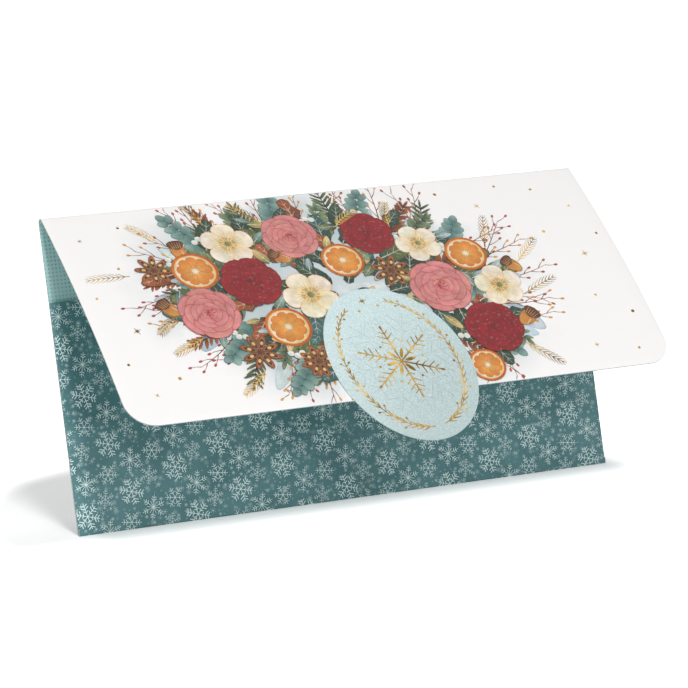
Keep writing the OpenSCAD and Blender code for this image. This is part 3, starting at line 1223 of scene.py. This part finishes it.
# %% The floor and the studio
def seen_directly(tree):
    path = add_node(tree, "LightPath", {}).outputs
    seen = calc(tree, "MAXIMUM", path["Is Camera Ray"], path["Is Glossy Ray"])
    return calc(tree, "MAXIMUM", seen, path["Is Transmission Ray"])


FLOOR_GREY = (0.85, 0.85, 0.85, 1)
FLOOR_SIZE = 4
ROOM_LIGHT = 0.26
SHADOW_MIDDLE = (-0.011, 0, 0)
SHADOW_NEAR = 0.1
SHADOW_FAR = 0.118
FRONT_REACH = 0.02
BACK_REACH = 0.03
FRONT_LIFT = 0.9
CONTACT_LIFT = 0.34
BACK_LIFT = 0.43


def floor_finish():
    material, tree, shader = new_finish("floor")
    feed(tree, shader, {"Base Color": FLOOR_GREY, "Roughness": 0.9})
    place = object_place(tree)
    depth = parts_of(tree, place)[1]
    before = fade(tree, depth, -FRONT_REACH, 0.0, FRONT_LIFT - CONTACT_LIFT, 0.0)
    behind = fade(tree, depth, 0.0, BACK_REACH, CONTACT_LIFT, BACK_LIFT)
    near_it = calc(tree, "ADD", before, behind)
    away = vector_calc(tree, "DISTANCE", place, SHADOW_MIDDLE)
    lift = fade(tree, away, SHADOW_NEAR, SHADOW_FAR, near_it, 1.0)
    lift = calc(tree, "MULTIPLY", lift, seen_directly(tree))
    glow = add_node(tree, "Emission", {"Color": (1, 1, 1, 1), "Strength": lift})
    both = add_node(tree, "AddShader", {0: shader.outputs[0], 1: glow.outputs[0]})
    feed(tree, tree.nodes["Material Output"], {"Surface": both.outputs[0]})
    return material


bm = bmesh.new()
bmesh.ops.create_grid(bm, x_segments=1, y_segments=1, size=FLOOR_SIZE)
floor = make_piece("floor", bm, floor_finish())
world = bpy.data.worlds.new("studio")
world.use_nodes = True
scene.world = world
sky = world.node_tree
strength = fade(sky, seen_directly(sky), 0.0, 1.0, ROOM_LIGHT, 1.0)
feed(sky, sky.nodes["Background"], {"Color": (1, 1, 1, 1), "Strength": strength})
scene.view_settings.view_transform = "Standard"
LIGHTS = [
    ("key", (-0.21, -0.97, 1.36), 0.28, 11.9),
    ("front", (0.0, -1.4, 0.58), 0.9, 5.2),
    ("side", (-1.1, -0.32, 0.1), 0.5, 2.6),
]
for name, place, size, power in LIGHTS:
    data = bpy.data.lights.new(name, "AREA")
    data.shape = "DISK"
    data.size = size
    data.energy = power
    light = bpy.data.objects.new(name, data)
    light.location = place
    light.rotation_euler = (hinge - Vector(place)).to_track_quat("-Z", "Y").to_euler()
    scene.collection.objects.link(light)
print(len(LIGHTS), "soft lights and a white room")

# %% [markdown]
# The camera stands where the photographer's did, a little to the left and above, with a long lens.
# Its turn is built from three angles, so that each can be read and changed by itself.

# %% The camera
CAMERA_AT = Vector((-0.4896, -0.9756, 0.2329))
YAW = radians(26.615)
PITCH = radians(9.556)
ROLL = radians(-2.003)
SENSOR = 36
FOCAL_LENGTH = 185.98
forward = Vector((sin(YAW) * cos(PITCH), cos(YAW) * cos(PITCH), -sin(PITCH)))
level_right = Vector((cos(YAW), -sin(YAW), 0))
level_up = level_right.cross(forward)
right = level_right * cos(ROLL) + level_up * sin(ROLL)
up = level_up * cos(ROLL) - level_right * sin(ROLL)
camera_data = bpy.data.cameras.new("camera")
camera_data.sensor_width = SENSOR
camera_data.lens = FOCAL_LENGTH
camera = bpy.data.objects.new("camera", camera_data)
scene.collection.objects.link(camera)
camera.matrix_world = Matrix.Translation(CAMERA_AT) @ Matrix((right, up, -forward)).transposed().to_4x4()
scene.camera = camera
print("Camera", round((CAMERA_AT - hinge).length, 2), "m from the crease")
